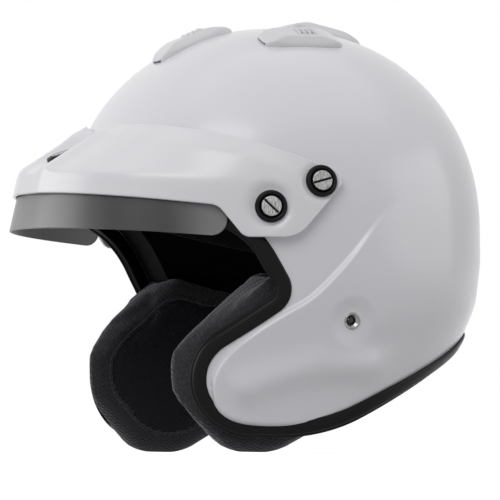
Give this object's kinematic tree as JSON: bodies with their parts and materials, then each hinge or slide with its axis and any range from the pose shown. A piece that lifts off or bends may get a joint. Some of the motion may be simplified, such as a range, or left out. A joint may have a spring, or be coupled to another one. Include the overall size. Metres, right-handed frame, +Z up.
{
  "type": "auto racing helmet",
  "caption": "Open-face racing helmet with a bolted-on sun peak and tinted strip, padded cheeks, sliding vents, chin strap rings and threaded head restraint terminals.",
  "frame": {"origin": "centre of the bounding box in plan, at the foot of the cheek pads, worn upright", "axes": "+X to the wearer's left, -Y the way the face looks, +Z up"},
  "size_m": [0.2562, 0.2968, 0.2722],
  "materials": {
    "shell_white": "clear gloss gel coat over fibre laminate",
    "trim_rubber": "satin black extrusion",
    "liner_foam": "moulded bead foam",
    "pad_fabric": "brushed flame-resistant knit",
    "lining_fabric": "brushed flame-resistant knit",
    "snap_plastic": "moulded",
    "peak_white": "gloss moulding",
    "strip_tint": "smoke-tinted clear sheet",
    "bracket_black": "moulded",
    "collar_rubber": "satin moulded ring",
    "screw_metal": "turned and brushed",
    "nut_metal": "turned",
    "terminal_metal": "turned",
    "vent_white": "gloss moulding",
    "strap_webbing": "woven flame-resistant webbing",
    "hanger_metal": "plated steel",
    "ring_metal": "polished steel wire"
  },
  "bodies": {
    "helmet": {"outer_shell": "shell_white", "edge_trim": "trim_rubber", "impact_liner": "liner_foam", "cheek_base_left": "liner_foam", "cheek_base_right": "liner_foam", "cheek_pad_left": "pad_fabric", "cheek_pad_right": "pad_fabric", "pad_snaps": "snap_plastic", "head_band": "lining_fabric", "neck_roll": "pad_fabric", "crown_pad": "lining_fabric", "peak": "peak_white", "tint_strip": "strip_tint", "peak_bracket": "bracket_black", "peak_collars": "collar_rubber", "peak_screws": "screw_metal", "peak_nuts": "nut_metal", "restraint_terminal_left": "terminal_metal", "restraint_terminal_right": "terminal_metal", "vent_housing_front": "vent_white", "vent_housing_left": "vent_white", "vent_housing_right": "vent_white", "vent_housing_rear": "vent_white", "chin_strap_left": "strap_webbing", "chin_strap_right": "strap_webbing", "strap_hanger_left": "hanger_metal", "strap_hanger_right": "hanger_metal", "strap_rivets": "hanger_metal"},
    "front_slide": {"vent_slide_front": "vent_white"},
    "left_slide": {"vent_slide_left": "vent_white"},
    "right_slide": {"vent_slide_right": "vent_white"},
    "outer_ring": {"d_ring_outer": "ring_metal"},
    "inner_ring": {"d_ring_inner": "ring_metal"}
  },
  "joints": [
    {"name": "front_vent_slide", "type": "slide", "parent": "helmet", "child": "front_slide", "axis": [0, -0.9212, -0.3891], "range_m": [0, 0.006]},
    {"name": "left_vent_slide", "type": "slide", "parent": "helmet", "child": "left_slide", "axis": [0, -1, -0.0089], "range_m": [0, 0.006]},
    {"name": "right_vent_slide", "type": "slide", "parent": "helmet", "child": "right_slide", "axis": [0, -1, -0.0089], "range_m": [0, 0.006]},
    {"name": "inner_ring_swing", "type": "hinge", "parent": "helmet", "child": "inner_ring", "pos_m": [0.0517, 0.01183, 0.0483], "axis": [0, 1, 0], "range_deg": [0, 75]},
    {"name": "outer_ring_swing", "type": "hinge", "parent": "helmet", "child": "outer_ring", "pos_m": [0.0573, 0.01183, 0.0483], "axis": [0, 1, 0], "range_deg": [0, 30]}
  ],
  "couplings": [
    {"joint": "outer_ring_swing", "follows": "inner_ring_swing", "ratio": 0.4}
  ]
}
